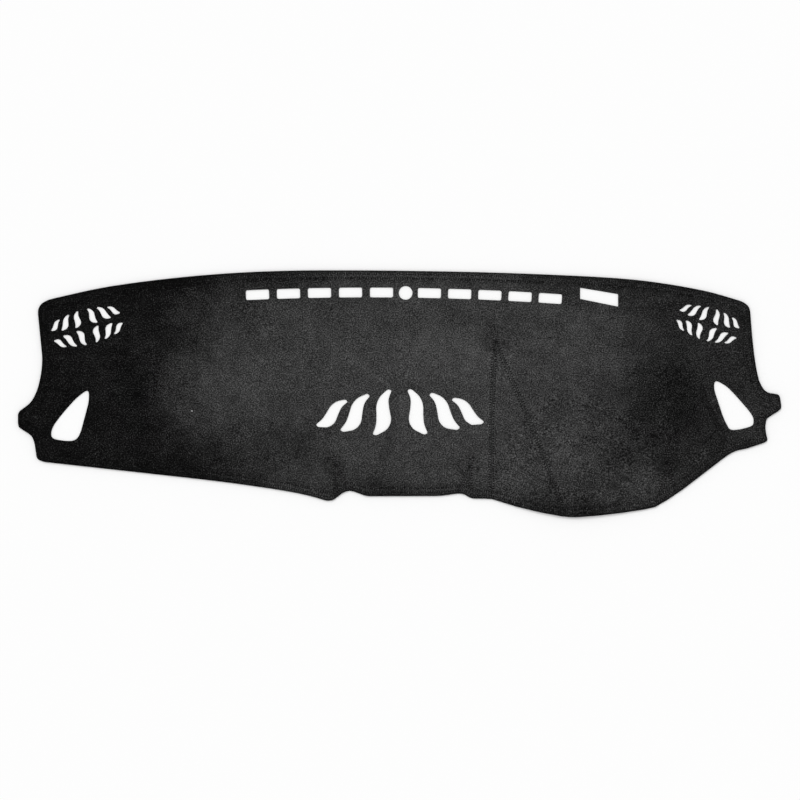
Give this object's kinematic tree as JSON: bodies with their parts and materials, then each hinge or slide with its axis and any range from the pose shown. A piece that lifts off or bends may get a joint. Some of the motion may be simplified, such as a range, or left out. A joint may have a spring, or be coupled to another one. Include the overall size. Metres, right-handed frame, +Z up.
{
  "type": "dashboard cover mat",
  "caption": "Shaped cloth mat that covers a car's dashboard top, hemmed all round, with demister slots, vent and sensor openings and let-in gussets over the instrument hood.",
  "frame": {"origin": "under the middle of the mat's box, on the surface that it lies on", "axes": "+X along the dashboard from left to right, +Y from the driver to the windscreen, +Z up out of the face"},
  "size_m": [1.526, 0.494, 0.0094],
  "materials": {
    "cloth": "napped flannel, matte",
    "thread": "spun polyester thread"
  },
  "bodies": {
    "root": {"main_panel": "cloth", "hood_gusset": "cloth", "left_small_gusset": "cloth", "right_small_gusset": "cloth", "hood_side_gusset": "cloth", "hem_outer_thread": "thread", "hem_inner_thread": "thread", "hood_gusset_left_outer_thread": "thread", "hood_gusset_left_inner_thread": "thread", "hood_gusset_right_inner_thread": "thread", "hood_gusset_right_outer_thread": "thread", "left_small_gusset_left_outer_thread": "thread", "left_small_gusset_left_inner_thread": "thread", "left_small_gusset_right_inner_thread": "thread", "left_small_gusset_right_outer_thread": "thread", "right_small_gusset_left_outer_thread": "thread", "right_small_gusset_left_inner_thread": "thread", "right_small_gusset_right_inner_thread": "thread", "right_small_gusset_right_outer_thread": "thread", "hood_side_gusset_left_outer_thread": "thread", "hood_side_gusset_left_inner_thread": "thread", "hood_side_gusset_right_inner_thread": "thread", "hood_side_gusset_right_outer_thread": "thread"}
  },
  "joints": []
}
